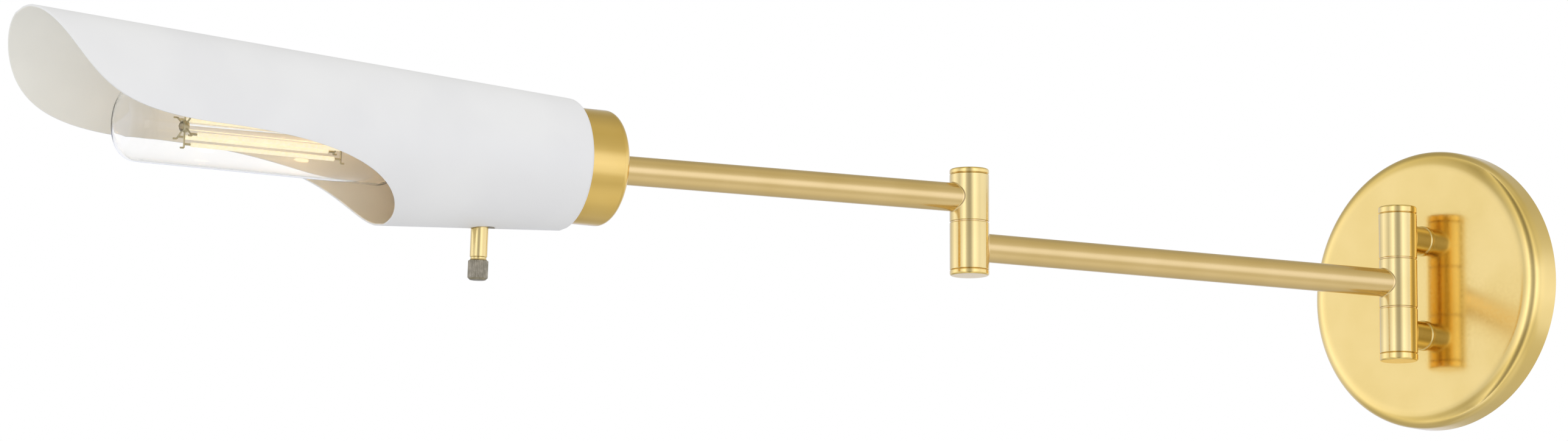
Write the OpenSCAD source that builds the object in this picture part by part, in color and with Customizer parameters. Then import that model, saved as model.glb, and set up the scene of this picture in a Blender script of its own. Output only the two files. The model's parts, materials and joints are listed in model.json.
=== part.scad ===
// Swing arm wall sconce: round wall plate, double-jointed arm and a scooped metal shade.
// The origin is the centre of the wall plate's rear rim. +Z is up, the wall lies in the XZ plane,
// and the room is towards -Y. Millimetres.

/* [Wall plate] */
// Diameter of the wall plate
plate_d = 127; // [124:1:150]
// How far the plate's face stands off the wall
plate_depth = 16; // [15:0.5:22]
// Thickness of the plate's metal
plate_wall = 1.6; // [1.2:0.1:2]
// Radius of the plate's rolled rim
plate_rim_r = 7; // [4:0.5:9]

/* [Wall bracket] */
// Distance between the bracket's two wall screw slots
box_spacing = 88.9; // [70:0.1:92]
// Length of a wall screw slot
slot_len = 12; // [8:0.5:14]
// Width of a wall screw slot
slot_w = 5; // [4.5:0.1:6]
// Thickness of the bracket's steel strip
bracket_t = 2; // [1.5:0.1:2.5]

/* [Wall hinge] */
// Distance from the plate's face to the hinge axis
hinge_stand = 18.5; // [16:0.5:30]
// Diameter of the hinge barrels
barrel_d = 17.5; // [17:0.1:20]
// Height of the swinging barrel
swing_h = 22; // [20:0.5:26]
// Height of each fixed barrel
fixed_h = 20.4; // [18:0.1:26]
// Thickness of a wall hinge cap
hinge_cap_h = 3.4; // [3:0.1:5]
// Diameter of the two posts
post_d = 12.7; // [11:0.1:14]

/* [Arms] */
// Diameter of the arm tubes
arm_d = 12.7; // [12:0.1:14]
// Inner arm, wall hinge axis to elbow axis
inner_len = 228; // [150:1:300]
// Outer arm, elbow axis to the cup's back
outer_len = 180; // [120:1:260]
// Angle of the inner arm away from straight out, towards -X
inner_angle = 19.5; // [-80:0.5:80]
// Angle of the outer arm away from straight out, towards -X
outer_angle = 22; // [-80:0.5:80]

/* [Elbow] */
// Height of each elbow barrel
elbow_h = 21; // [20:0.5:26]
// Thickness of an elbow cap
elbow_cap_h = 2.5; // [2:0.1:4]

/* [Head] */
// Upward set of the head against the outer arm
head_lift = 1; // [0:0.5:3]
// Turn of the head about its own axis
head_turn = -3; // [-20:1:20]
// Diameter of the brass cup
cup_d = 50.5; // [48:0.5:54]
// Length of the brass cup
cup_len = 19.3; // [18.5:0.1:26]
// Radius of the cup's rear edge
cup_edge_r = 3.5; // [1:0.5:6]

/* [Shade] */
// Radius of the shade at its rear end
shade_rear_r = 28.7; // [28:0.1:32]
// Growth of the shade's radius per millimetre of length
shade_flare = 0.063; // [0.04:0.001:0.08]
// Length of the shade
shade_len = 256; // [240:1:260]
// Thickness of the shade's metal
shade_t = 1; // [0.8:0.1:1.5]

/* [Switch knob] */
// Distance from the shade's rear to the knob's axis
knob_s = 40.2; // [38:0.1:42]
// Diameter of the knob's stem
stem_d = 7.6; // [6:0.1:8]
// Diameter of the knurled end
grip_d = 8.8; // [8:0.1:11]
// Length of the knurled end
grip_len = 8.7; // [6:0.1:12]
// How far the knob's end lies below the head's axis
knob_reach = 53.6; // [50:0.1:58]

/* [Bulb] */
// Diameter of the tubular bulb
bulb_d = 34; // [29:0.5:35]
// Distance from the shade's rear to the bulb's tip
bulb_tip_s = 210.5; // [190:0.5:225]
// Number of filaments
filaments_n = 6; // [4:1:8]

/* [Hidden] */
$fn = 64;
brass = [0.86, 0.71, 0.42];
bright_brass = [0.93, 0.78, 0.45];
steel = [0.72, 0.72, 0.74];
dark_steel = [0.42, 0.38, 0.31];
white_paint = [0.92, 0.92, 0.93];
black_resin = [0.12, 0.12, 0.13];
fibre = [0.55, 0.35, 0.25];
white_nylon = [0.93, 0.93, 0.9];
clear_glass = [0.85, 0.92, 0.95, 0.35];

fit_gap = 0.05;                       // radial running clearance of every turning joint
face_gap = 0.05;                      // play between faces that turn on each other
washer_t = 0.5;                       // thrust washers
hinge_y = plate_depth + hinge_stand;  // wall to hinge axis
barrel_r = barrel_d / 2;
arm_r = arm_d / 2;
arm_bore_r = 5;                       // inside of the tubes, tapped for the pipe thread at their ends
pipe_r = 5;                           // hollow threaded rod, outside
pipe_bore_r = 3.2;                    // hollow threaded rod, inside
wire_r = 1.2;                         // insulated lead wire
wire_x = 1.5;                         // a lead wire's offset from its tube's axis
stop_pin_r = 0.9;
stop_ring_r = 6.9;                    // distance from a hinge axis to its stop pin
stop_half = 8;                        // half the angle that a stop pin takes up in its groove
stop_depth = 2.5;                     // depth of a stop groove
swing_limit = 90;                     // wall hinge, each way from straight out
elbow_limit = 150;                    // elbow, each way from straight
counterbore_r = 7.3;
counterbore_h = 6;
lock_nut_r = 6.9;
lock_nut_h = 4;
spring_washer_t = 0.8;

grub_r = 2;                           // grub screws and earth screw
grub_depth = 6;                       // grub screws' distance from the wall
grub_len = 8;
strip_w = 24;                         // bracket's middle
flange_w = 14;                        // bracket's turned-up ends
flange_h = 10;
flange_outer = plate_d / 2 - plate_wall - 1.9;
earth_z = 27;                         // earth screw's height on the bracket
plate_inner = plate_depth - plate_wall;  // wall to the plate's inner face
lead_ring_r = 42;                     // circle of the folded supply leads
pipe_nut_flats = 14;
pipe_nut_h = 3.5;

post_z = swing_h / 2 + washer_t + fixed_h / 2;
hinge_top = swing_h / 2 + washer_t + fixed_h;
post_nut_h = 3.2;
post_washer_t = 0.8;
post_tail = 6.5;                      // length of a post's thread behind the plate's metal

elbow_seam = elbow_h / 2;             // top of the lower elbow barrel
upper_foot = elbow_seam + washer_t;   // foot of the upper elbow barrel
outer_z = upper_foot + elbow_h / 2;   // height of the outer arm
elbow_top = upper_foot + elbow_h;

cup_r = cup_d / 2;
cup_wall = 1.6;
cup_floor = 2;                        // thickness of the cup's rear wall
cup_lip_r = 18.5;                     // opening of the cup's mouth
cup_lip_t = 3;
cup_inside = cup_floor - cup_len;     // inner face of the cup's rear wall
swivel_washer_t = 0.8;
swivel_spring_t = 1;
stop_washer_t = 1.2;
stack_base = cup_inside + face_gap + swivel_washer_t + swivel_spring_t;
nipple_grip = 12;                     // thread of the nipple inside the outer arm
nipple_end = cup_inside + 8;          // front end of the nipple, in the cup
shade_screw_ring = 21;
shade_screw_r = 1.5;
shade_floor_t = 1.2;
shade_edge_r = 2.5;                   // rounded rear edge of the shade
tab_reach = 17.5;                     // tip of the stop washer's tab
cup_pin_ring = 15.5;
cup_pin_r = 1.5;
cup_pin_root = 1.2;                   // depth of the pin in the cup's rear wall
slot_front = 5;                       // knob slot's reach in front of the knob's axis
slot_back = 6.9;                      // knob slot's reach behind the knob's axis
knob_slot_w = 9.4;
socket_nipple_start = -5.5;

shell_r = 16.7;                       // lampholder shell, outside
shell_t = 0.7;
sleeve_t = 0.5;
body_r = 15.2;                        // lampholder's switch body
body_start = 22;
body_end = 50;
shell_start = 19;
shell_end = 77;
spindle_r = 2;
cam_w = 6.8;                          // square cam, turns freely in the switch body
bushing_r = 4.2;
bushing_end = 18.4;                   // outer end of the switch bushing, below the axis
grip_start = knob_reach - grip_len;   // where the knurled end begins, below the axis

thread_pitch = 3.6;                   // lamp base thread
thread_depth = 0.4;                   // half the height of a thread
thread_turns = 5;
base_r = 12.7;                        // mean radius of the bulb base's thread
base_start = 52;
base_end = 74.5;
thread_start = 53.5;
bulb_r = bulb_d / 2;
glass_t = 0.9;
shoulder_r = 9;                       // rounding of the glass behind the tube
dome_r = 15.5;                        // rounding of the glass at the tip
crown_s = 181;                        // front support of the filaments
foot_s = 107.7;                       // rear support of the filaments
filament_ring = 7.5;
filament_r = 0.95;

// Points on an arc, from angle a0 to a1
function arc(cx, cy, r, a0, a1, n = 8) =
    [for (i = [0 : n]) let (a = a0 + (a1 - a0) * i / n) [cx + r * cos(a), cy + r * sin(a)]];

// Point on a cubic curve with four control points
function bezier(p, t) = pow(1 - t, 3) * p[0] + 3 * pow(1 - t, 2) * t * p[1]
    + 3 * (1 - t) * t * t * p[2] + pow(t, 3) * p[3];

// Radius of the shade at distance s from its rear
function shade_r(s) = shade_rear_r + shade_flare * s;

// Rounded thread outline, as [radius, height] points
function thread(r, from) = [for (i = [0 : 6 * thread_turns])
    [r + thread_depth * cos(60 * i), from + thread_pitch * i / 6]];

// The scoop's side outline: a steep front curve, a long level lip and a rounded throat
scoop_front = [[256.5, 44.6], [242.8, 12.8], [236.7, -1.1], [180.7, -2.2]];
scoop_throat = [[180.7, -2.2], [127.7, -3.2], [93.4, -12.5], [86.6, -36]];
scoop_steps = 14;
scoop_outline = concat(
    [for (i = [0 : scoop_steps]) bezier(scoop_front, i / scoop_steps)],
    [for (i = [1 : scoop_steps]) bezier(scoop_throat, i / scoop_steps)]);

// ---- places ----

// Axis of the wall hinge, Z up
module at_hinge() translate([0, -hinge_y, 0]) children();

// Local +Z points out of the wall into the room
module out_of_wall() rotate([90, 0, 0]) children();

// Frame of the inner arm: the arm runs along -Y from the hinge axis
module on_inner() at_hinge() rotate([0, 0, -inner_angle]) children();

// Frame of the elbow axis, turned as the inner arm is
module at_elbow() on_inner() translate([0, -inner_len, 0]) children();

// Frame of the outer arm: the arm runs along -Y from the elbow axis
module on_outer() at_elbow() rotate([0, 0, inner_angle - outer_angle]) children();

// Axis of the head before it is turned: local +Z forward, +Y up, zero at the shade's rear
module head_axis() on_outer() translate([0, -outer_len, outer_z])
    rotate([90 - head_lift, 0, 0]) translate([0, 0, cup_len]) children();

// Frame of everything in the head
module in_head() head_axis() rotate([0, 0, head_turn]) children();

// Frame of the switch knob: local +Z points down, out of the lampholder
module at_knob() in_head() translate([0, 0, knob_s]) rotate([90, 0, 0]) children();

// ---- shapes ----

// Straight tube on Z
module tube(r, bore, h) difference() {
    cylinder(r = r, h = h);
    translate([0, 0, -1]) cylinder(r = bore, h = h + 2);
}

// Hexagon nut on Z, given across its flats
module hex_nut(flats, bore, h) difference() {
    cylinder(r = flats / sqrt(3), h = h, $fn = 6);
    translate([0, 0, -1]) cylinder(r = bore, h = h + 2);
}

// Bar with round ends, along X, centred
module slot_bar(len, w, h) translate([0, 0, -h / 2]) {
    translate([-(len - w) / 2, -w / 2, 0]) cube([len - w, w, h]);
    for (side = [-1, 1]) translate([side * (len - w) / 2, 0, 0]) cylinder(d = w, h = h);
}

// Hinge barrel on Z with a chamfer at each end
module barrel(bore, h) difference() {
    rotate_extrude() polygon([[0, 0], [barrel_r - 0.3, 0], [barrel_r, 0.3],
        [barrel_r, h - 0.3], [barrel_r - 0.3, h], [0, h]]);
    translate([0, 0, -1]) cylinder(r = bore, h = h + 2);
}

// Round cap on Z with a softened top edge and a threaded recess underneath
module barrel_cap(h, recess) difference() {
    rotate_extrude() polygon(concat([[0, 0], [barrel_r, 0]],
        arc(barrel_r - 0.8, h - 0.8, 0.8, 0, 90, 4), [[0, h]]));
    translate([0, 0, -1]) cylinder(r = pipe_r, h = recess + 1);
}

// Hollow hinge pin on Z with windows for the wires, each [height, direction]
module wire_pin(z0, z1, windows) difference() {
    translate([0, 0, z0]) tube(pipe_r, pipe_bore_r, z1 - z0);
    for (w = windows) translate([0, 0, w[0]]) rotate([0, 0, w[1]]) rotate([90, 0, 0])
        cylinder(r = pipe_bore_r, h = pipe_r + 1);
}

// Round nut on Z with four slots for a pin spanner
module slotted_nut() difference() {
    tube(lock_nut_r, pipe_r, lock_nut_h);
    for (a = [0, 90, 180, 270]) rotate([0, 0, a]) translate([lock_nut_r - 1, -0.8, lock_nut_h - 1.5])
        cube([2, 1.6, 2]);
}

// Thrust washer on Z with a hole for the stop pin
module thrust_washer(hole_angle) difference() {
    tube(barrel_r - 0.3, pipe_r, washer_t);
    rotate([0, 0, hole_angle]) translate([0, -stop_ring_r, -1]) cylinder(r = stop_pin_r, h = 3);
}

// Groove in the foot of a turning barrel, open for half_angle each way from -Y
module stop_groove(half_angle) rotate([0, 0, -90 - half_angle]) rotate_extrude(angle = 2 * half_angle)
    translate([stop_ring_r - stop_pin_r - 0.15, -1]) square([2 * stop_pin_r + 0.3, stop_depth + 1]);

// Arm tube along -Y from a barrel at the origin, closed onto the barrel's round side
module arm_tube(len) difference() {
    rotate([90, 0, 0]) cylinder(r = arm_r, h = len);
    rotate([90, 0, 0]) translate([0, 0, -1]) cylinder(r = arm_bore_r, h = len + 2);
    translate([0, 0, -arm_d]) cylinder(r = barrel_r, h = 2 * arm_d);
}

// Hole through a barrel's side wall for the wires, towards -Y
module wire_hole() rotate([90, 0, 0]) cylinder(r = pipe_bore_r, h = barrel_r + 1);

// Pair of lead wires along -Y, side by side
module wire_pair(from, to) for (side = [-1, 1]) translate([side * wire_x, -from, 0])
    rotate([90, 0, 0]) cylinder(r = wire_r, h = to - from);

// Panhead screw on Z, its head above zero
module pan_screw(r, len, head_r, head_h) difference() {
    union() {
        translate([0, 0, -len]) cylinder(r = r, h = len);
        rotate_extrude() polygon(concat([[0, 0], [head_r, 0]],
            arc(head_r - 0.8, head_h - 0.8, 0.8, 0, 90, 4), [[0, head_h]]));
    }
    for (a = [0, 90]) rotate([0, 0, a]) translate([-head_r * 0.6, -0.4, head_h - 0.9])
        cube([head_r * 1.2, 0.8, 1]);
}

// ---- wall plate and bracket ----

module backplate() color(bright_brass) out_of_wall() difference() {
    rotate_extrude($fn = 128) polygon(concat(
        [[plate_d / 2 - plate_wall, 0], [plate_d / 2, 0]],
        arc(plate_d / 2 - plate_rim_r, plate_depth - plate_rim_r, plate_rim_r, 0, 90),
        [[0, plate_depth], [0, plate_depth - plate_wall]],
        arc(plate_d / 2 - plate_rim_r, plate_depth - plate_rim_r, plate_rim_r - plate_wall, 90, 0)));
    for (side = [-1, 1]) translate([0, side * post_z, 0]) cylinder(r = pipe_r, h = plate_depth + 1);
    for (side = [-1, 1]) rotate([0, 0, side * 90]) translate([0, 0, grub_depth]) rotate([0, 90, 0])
        cylinder(r = grub_r, h = plate_d);
}

module wall_bracket() color(steel) out_of_wall() difference() {
    union() {
        translate([-strip_w / 2, -flange_outer + 8, 0]) cube([strip_w, 2 * flange_outer - 16, bracket_t]);
        translate([-flange_w / 2, -flange_outer, 0]) cube([flange_w, 2 * flange_outer, bracket_t]);
        for (end = [-flange_outer, flange_outer - bracket_t]) translate([-flange_w / 2, end, 0])
            cube([flange_w, bracket_t, flange_h]);
    }
    for (side = [-1, 1]) translate([0, side * box_spacing / 2, 0]) rotate([0, 0, 90])
        slot_bar(slot_len, slot_w, 3 * bracket_t);
    for (side = [-1, 1]) rotate([0, 0, side * 90]) translate([0, 0, grub_depth]) rotate([0, 90, 0])
        cylinder(r = grub_r, h = plate_d);
    translate([0, 0, -1]) cylinder(r = 11, h = bracket_t + 2);
    translate([0, earth_z, -1]) cylinder(r = grub_r, h = bracket_t + 2);
}

module bracket_grub_screws() color(steel) out_of_wall() for (side = [-1, 1]) rotate([0, 0, side * 90])
    translate([plate_d / 2 - 0.3 - grub_len, 0, grub_depth]) rotate([0, 90, 0]) difference() {
        cylinder(r = grub_r, h = grub_len);
        translate([0, 0, grub_len - 2]) cylinder(r = 1.15, h = 3, $fn = 6);
    }

module earth_screw() color([0.2, 0.5, 0.25]) out_of_wall() translate([0, earth_z, bracket_t])
    pan_screw(grub_r, bracket_t, 3.8, 2.2);

// ---- wall hinge ----

module post(side) color(brass) difference() {
    translate([0, 0, side * post_z]) out_of_wall() {
        translate([0, 0, plate_depth]) cylinder(r = post_d / 2, h = hinge_stand);
        translate([0, 0, plate_depth - plate_wall - post_tail])
            cylinder(r = pipe_r, h = plate_wall + post_tail + 1);
    }
    translate([0, 0, side * post_z]) out_of_wall() cylinder(r = pipe_bore_r, h = hinge_y);
    at_hinge() translate([0, 0, -hinge_top - 1]) cylinder(r = barrel_r, h = 2 * hinge_top + 2);
}

module upper_post() post(1);

module lower_post() post(-1);

module post_lock_washers() color(steel) out_of_wall() for (side = [-1, 1])
    translate([0, side * post_z, plate_inner - post_washer_t]) tube(8.5, pipe_r, post_washer_t);

module post_nuts() color(steel) out_of_wall() for (side = [-1, 1])
    translate([0, side * post_z, plate_inner - post_washer_t - post_nut_h])
        hex_nut(pipe_nut_flats, pipe_r, post_nut_h);

module hinge_barrel_upper() color(brass) at_hinge() translate([0, 0, swing_h / 2 + washer_t]) difference() {
    barrel(pipe_r, fixed_h);
    translate([0, 0, fixed_h - counterbore_h]) cylinder(r = counterbore_r, h = counterbore_h + 1);
    translate([0, 0, fixed_h / 2]) rotate([0, 0, 180]) wire_hole();
}

module hinge_barrel_lower() color(brass) at_hinge() translate([0, 0, -hinge_top]) difference() {
    barrel(pipe_r, fixed_h);
    translate([0, 0, fixed_h / 2]) rotate([0, 0, 180]) wire_hole();
    translate([0, -stop_ring_r, fixed_h - 3]) cylinder(r = stop_pin_r, h = 4);
}

module hinge_pin() color(steel) at_hinge()
    wire_pin(-hinge_top - 2, hinge_top + 2, [[post_z, 180], [-post_z, 180], [0, -swing_limit / 2],
        [0, 0], [0, swing_limit / 2]]);

module hinge_thrust_washers() color(brass) at_hinge() for (z = [swing_h / 2, -swing_h / 2 - washer_t])
    translate([0, 0, z]) thrust_washer(0);

module wall_stop_pin() color(steel) at_hinge() translate([0, -stop_ring_r, -swing_h / 2 - washer_t - 3])
    cylinder(r = stop_pin_r, h = 3 + washer_t + stop_depth - 0.5);

module hinge_spring_washer() color(steel) at_hinge() translate([0, 0, hinge_top - counterbore_h])
    tube(6.8, pipe_r, spring_washer_t);

module hinge_lock_nut() color(steel) at_hinge()
    translate([0, 0, hinge_top - counterbore_h + spring_washer_t]) slotted_nut();

module hinge_caps() color(bright_brass) at_hinge() for (end = [0, 1]) mirror([0, 0, end])
    translate([0, 0, hinge_top]) barrel_cap(hinge_cap_h, 2);

// Two insulated leads folded round the inside of the plate
module supply_leads() color(black_resin) out_of_wall() for (i = [0, 1]) translate([0, 0, 5 + 3 * i])
    rotate([0, 0, 100]) rotate_extrude(angle = 310) translate([lead_ring_r, 0]) circle(r = wire_r);

// ---- inner arm ----

module hinge_barrel_swing() color(brass) on_inner() translate([0, 0, -swing_h / 2 + face_gap]) difference() {
    barrel(pipe_r + fit_gap, swing_h - 2 * face_gap);
    translate([0, 0, swing_h / 2]) wire_hole();
    stop_groove(swing_limit + stop_half);
}

module inner_arm() color(brass) on_inner() difference() {
    arm_tube(inner_len);
    translate([0, -inner_len, -arm_d]) cylinder(r = barrel_r, h = 2 * arm_d);
}

module inner_arm_wires() color(black_resin) on_inner() wire_pair(barrel_r, inner_len - barrel_r);

module elbow_barrel_lower() color(brass) at_elbow() translate([0, 0, -elbow_h / 2]) difference() {
    barrel(pipe_r, elbow_h);
    translate([0, 0, elbow_h / 2]) rotate([0, 0, 180]) wire_hole();
    translate([0, -stop_ring_r, elbow_h - 3]) cylinder(r = stop_pin_r, h = 4);
}

module elbow_pin() color(steel) at_elbow() wire_pin(-elbow_h / 2 - 1.5, elbow_top + 1.5,
    [[0, 180], [outer_z, -60], [outer_z, 0], [outer_z, 60]]);

module elbow_caps() color(bright_brass) at_elbow() {
    translate([0, 0, elbow_top + face_gap]) barrel_cap(elbow_cap_h, 1.5);
    mirror([0, 0, 1]) translate([0, 0, elbow_h / 2]) barrel_cap(elbow_cap_h, 1.5);
}

module elbow_thrust_washer() color(brass) at_elbow() translate([0, 0, elbow_seam]) thrust_washer(0);

module elbow_stop_pin() color(steel) at_elbow() translate([0, -stop_ring_r, elbow_seam - 3])
    cylinder(r = stop_pin_r, h = 3 + washer_t + stop_depth - 0.5);

module elbow_spring_washer() color(steel) at_elbow()
    translate([0, 0, elbow_top - counterbore_h + face_gap]) tube(6.8, pipe_r, spring_washer_t);

module elbow_lock_nut() color(steel) at_elbow()
    translate([0, 0, elbow_top - counterbore_h + face_gap + spring_washer_t]) slotted_nut();

// ---- outer arm ----

module elbow_barrel_upper() color(brass) on_outer() translate([0, 0, upper_foot + face_gap]) difference() {
    barrel(pipe_r + fit_gap, elbow_h - face_gap);
    translate([0, 0, elbow_h - face_gap - counterbore_h]) cylinder(r = counterbore_r, h = counterbore_h + 1);
    translate([0, 0, elbow_h / 2 - face_gap]) wire_hole();
    stop_groove(elbow_limit + stop_half);
}

// The tube's front end is cut square to the head's axis and bored along it
module outer_arm() color(brass) difference() {
    on_outer() translate([0, 0, outer_z]) arm_tube(outer_len + 5);
    head_axis() translate([0, 0, -cup_len - swivel_washer_t]) cylinder(r = 2 * arm_d, h = 30);
    head_axis() translate([0, 0, -cup_len - swivel_washer_t - nipple_grip])
        cylinder(r = pipe_r, h = nipple_grip + 1);
}

module head_nipple() color(steel) head_axis()
    translate([0, 0, -cup_len - swivel_washer_t - nipple_grip])
        tube(pipe_r, pipe_bore_r, nipple_end + cup_len + swivel_washer_t + nipple_grip);

module outer_arm_wires() color(black_resin) on_outer() translate([0, 0, outer_z])
    wire_pair(barrel_r, outer_len - swivel_washer_t - nipple_grip - 2);

module swivel_washer() color(fibre) head_axis() translate([0, 0, -cup_len - swivel_washer_t])
    tube(arm_r - 0.2, pipe_r, swivel_washer_t - face_gap);

module swivel_friction_washer() color(white_nylon) head_axis() translate([0, 0, cup_inside + face_gap])
    tube(9, pipe_r, swivel_washer_t);

module swivel_spring_washer() color(steel) head_axis()
    translate([0, 0, cup_inside + face_gap + swivel_washer_t]) tube(8.5, pipe_r, swivel_spring_t);

// Round washer with one tab that meets the cup's stop pin, keyed to the nipple
module head_stop_washer() color(steel) head_axis() translate([0, 0, stack_base]) difference() {
    union() {
        cylinder(r = 9, h = stop_washer_t);
        translate([-2.5, 0, 0]) cube([5, tab_reach, stop_washer_t]);
    }
    translate([0, 0, -1]) cylinder(r = pipe_r, h = stop_washer_t + 2);
}

module swivel_nut() color(steel) head_axis() translate([0, 0, stack_base + stop_washer_t])
    hex_nut(pipe_nut_flats, pipe_r, pipe_nut_h);

// ---- head ----

module cup() color(bright_brass) in_head() difference() {
    rotate_extrude($fn = 96) polygon(concat(
        [[0, -cup_len]],
        arc(cup_r - cup_edge_r, cup_edge_r - cup_len, cup_edge_r, -90, 0),
        [[cup_r, 0], [cup_lip_r, 0], [cup_lip_r, -cup_lip_t], [cup_r - cup_wall, -cup_lip_t]],
        arc(cup_r - cup_edge_r, cup_edge_r - cup_len, cup_edge_r - cup_wall, 0, -90),
        [[0, cup_inside]]));
    translate([0, 0, -cup_len - 1]) cylinder(r = pipe_r + fit_gap, h = cup_floor + 2);
    translate([0, -cup_pin_ring, cup_inside - cup_pin_root]) cylinder(r = cup_pin_r, h = cup_pin_root + 1);
    shade_screw_holes(-cup_lip_t - 1);
}

module shade_screw_holes(from) for (a = [30, 150, 270]) rotate([0, 0, a])
    translate([shade_screw_ring, 0, from]) cylinder(r = shade_screw_r, h = 6);

module cup_stop_pin() color(steel) in_head() translate([0, -cup_pin_ring, cup_inside - cup_pin_root])
    cylinder(r = cup_pin_r, h = cup_pin_root + 4.5);

// Body of the shade before the scoop and the slot are cut
module shade_cone() rotate_extrude($fn = 128) polygon(concat(
    [[0, 0]],
    arc(shade_r(0) - shade_edge_r, shade_edge_r, shade_edge_r, -90, 0, 6),
    [[shade_r(shade_len), shade_len], [shade_r(shade_len) - shade_t, shade_len]],
    arc(shade_r(0) - shade_edge_r, shade_edge_r, shade_edge_r - shade_t, 0, -90, 6),
    [[0, shade_floor_t]]));

// Everything under the scoop's outline, across the whole shade
module scoop_cut() rotate([90, 0, 90]) linear_extrude(height = 120, center = true)
    polygon([for (p = concat([[300, 60]], scoop_outline, [[scoop_throat[3][0], -60], [300, -60]]))
        [p[1], p[0]]]);

module shade() color(white_paint) in_head() difference() {
    shade_cone();
    scoop_cut();
    translate([0, -shade_rear_r, knob_s + (slot_front - slot_back) / 2]) rotate([90, 0, 0])
        rotate([0, 0, 90]) slot_bar(slot_front + slot_back, knob_slot_w, 16);
    translate([0, 0, -1]) cylinder(r = pipe_r, h = shade_floor_t + 2);
    shade_screw_holes(-1);
}

module shade_screws() color(steel) in_head() for (a = [30, 150, 270]) rotate([0, 0, a])
    translate([shade_screw_ring, 0, shade_floor_t]) pan_screw(shade_screw_r, 4.2, 2.7, 2);

module socket_nipple() color(steel) in_head() translate([0, 0, socket_nipple_start])
    tube(pipe_r, pipe_bore_r, 9 - socket_nipple_start);

module socket_nut() color(steel) in_head() translate([0, 0, -pipe_nut_h])
    hex_nut(pipe_nut_flats, pipe_r, pipe_nut_h);

module socket_cap() color(brass) in_head() rotate_extrude() polygon(concat(
    [[pipe_r, shade_floor_t], [8, shade_floor_t], [8, 8]],
    arc(10, 15, 5.9, -90, 0, 6),
    [[15.9, 18.5], [15.9, 24], [15.3, 24], [15.3, 15]],
    arc(10, 15, 5.1, 0, -90, 6),
    [[pipe_r, 9.9]]));

// Resin body with a rear pocket for the switch and a front pocket for the centre contact
module switch_body() color(black_resin) in_head() difference() {
    translate([0, 0, body_start + 2]) cylinder(r = body_r, h = body_end - body_start - 2);
    translate([-6.5, -8, body_start]) cube([13, 14, 24]);
    translate([0, 0, body_end - 2.6]) cylinder(r = 8, h = 4);
    translate([0, -7, knob_s]) rotate([90, 0, 0]) cylinder(r = spindle_r + fit_gap, h = 10);
}

module socket_shell() color(brass) in_head() difference() {
    rotate_extrude() polygon([[shell_r - shell_t, shell_start], [shell_r, shell_start],
        [shell_r, 30], [shell_r + 0.5, 31], [shell_r, 32], [shell_r, shell_end - 2],
        [shell_r + 0.8, shell_end - 1], [shell_r, shell_end], [shell_r - shell_t, shell_end]]);
    translate([0, 0, knob_s]) rotate([90, 0, 0]) cylinder(r = bushing_r, h = 20);
}

module insulating_sleeve() color(fibre) in_head() difference() {
    translate([0, 0, 25]) tube(body_r + 0.1 + sleeve_t, body_r + 0.1, 50);
    translate([0, 0, knob_s]) rotate([90, 0, 0]) cylinder(r = bushing_r, h = 20);
}

// Nickel-plated shell that the bulb screws into
module screw_shell() color([0.78, 0.72, 0.55]) in_head() rotate_extrude() polygon(concat(
    [[8.5, body_end], [base_r + 1.1, body_end], [base_r + 1.1, thread_start]],
    thread(base_r + 1.1, thread_start),
    [[base_r + 1.5, 73], [base_r + 1, 73]],
    [for (i = [6 * thread_turns : -1 : 0]) thread(base_r + 0.6, thread_start)[i]],
    [[base_r + 0.6, body_end + 0.5], [8.5, body_end + 0.5]]));

// Spring tongue that touches the bulb's tip
module centre_contact() color(brass) in_head() {
    translate([-1.5, -6, body_end - 2.6]) cube([3, 4, 0.4]);
    translate([-1.5, -2.5, body_end - 2.6]) cube([3, 0.4, 2]);
    translate([-1.5, -2.5, body_end - 1]) cube([3, 5.5, 0.4]);
}

module switch_bushing() color(brass) at_knob() translate([0, 0, body_r + 0.02])
    tube(bushing_r, spindle_r + fit_gap, bushing_end - body_r - 0.02);

// ---- bulb ----

module bulb_glass() color(clear_glass) in_head() rotate_extrude() polygon(concat(
    [[11.2, base_end - 1.5], [12.2, base_end - 1.5], [12.4, 77]],
    arc(bulb_r - shoulder_r, 89, shoulder_r, -50, 0, 6),
    arc(bulb_r - dome_r, bulb_tip_s - dome_r, dome_r, 0, 90, 12),
    [[0, bulb_tip_s], [0, bulb_tip_s - glass_t]],
    arc(bulb_r - dome_r, bulb_tip_s - dome_r, dome_r - glass_t, 90, 0, 12),
    arc(bulb_r - shoulder_r, 89, shoulder_r - glass_t, 0, -50, 6),
    [[11.4, 77]]));

module bulb_base() color([0.8, 0.77, 0.68]) in_head() rotate_extrude() polygon(concat(
    [[7, base_start - 1], [base_r - 1.4, base_start], [base_r - 0.3, thread_start]],
    thread(base_r, thread_start),
    [[base_r + 0.3, 73], [base_r, base_end], [12.3, base_end], [12.3, 73]],
    [[11.7, thread_start + 1], [7, base_start]]));

module bulb_base_insulator() color(black_resin) in_head() rotate_extrude()
    polygon([[2.5, 49.6], [5, 49.6], [7, base_start - 1], [7, base_start], [2.5, base_start]]);

module bulb_tip_contact() color(steel) in_head() rotate_extrude()
    polygon(concat([[0, 51.4], [2.5, 51.4], [2.5, 51]], arc(0, 51.6, 2.15, -20, -90, 6)));

// Glass stem with its flare in the base and a rod that carries the wire supports
module bulb_stem() color(clear_glass) in_head() rotate_extrude()
    polygon([[0, 76], [9.5, 76], [5.5, 82], [4, 92], [3.2, foot_s - 5], [1.6, foot_s - 1.3],
        [1.6, crown_s + 2], [0, crown_s + 3]]);

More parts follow.
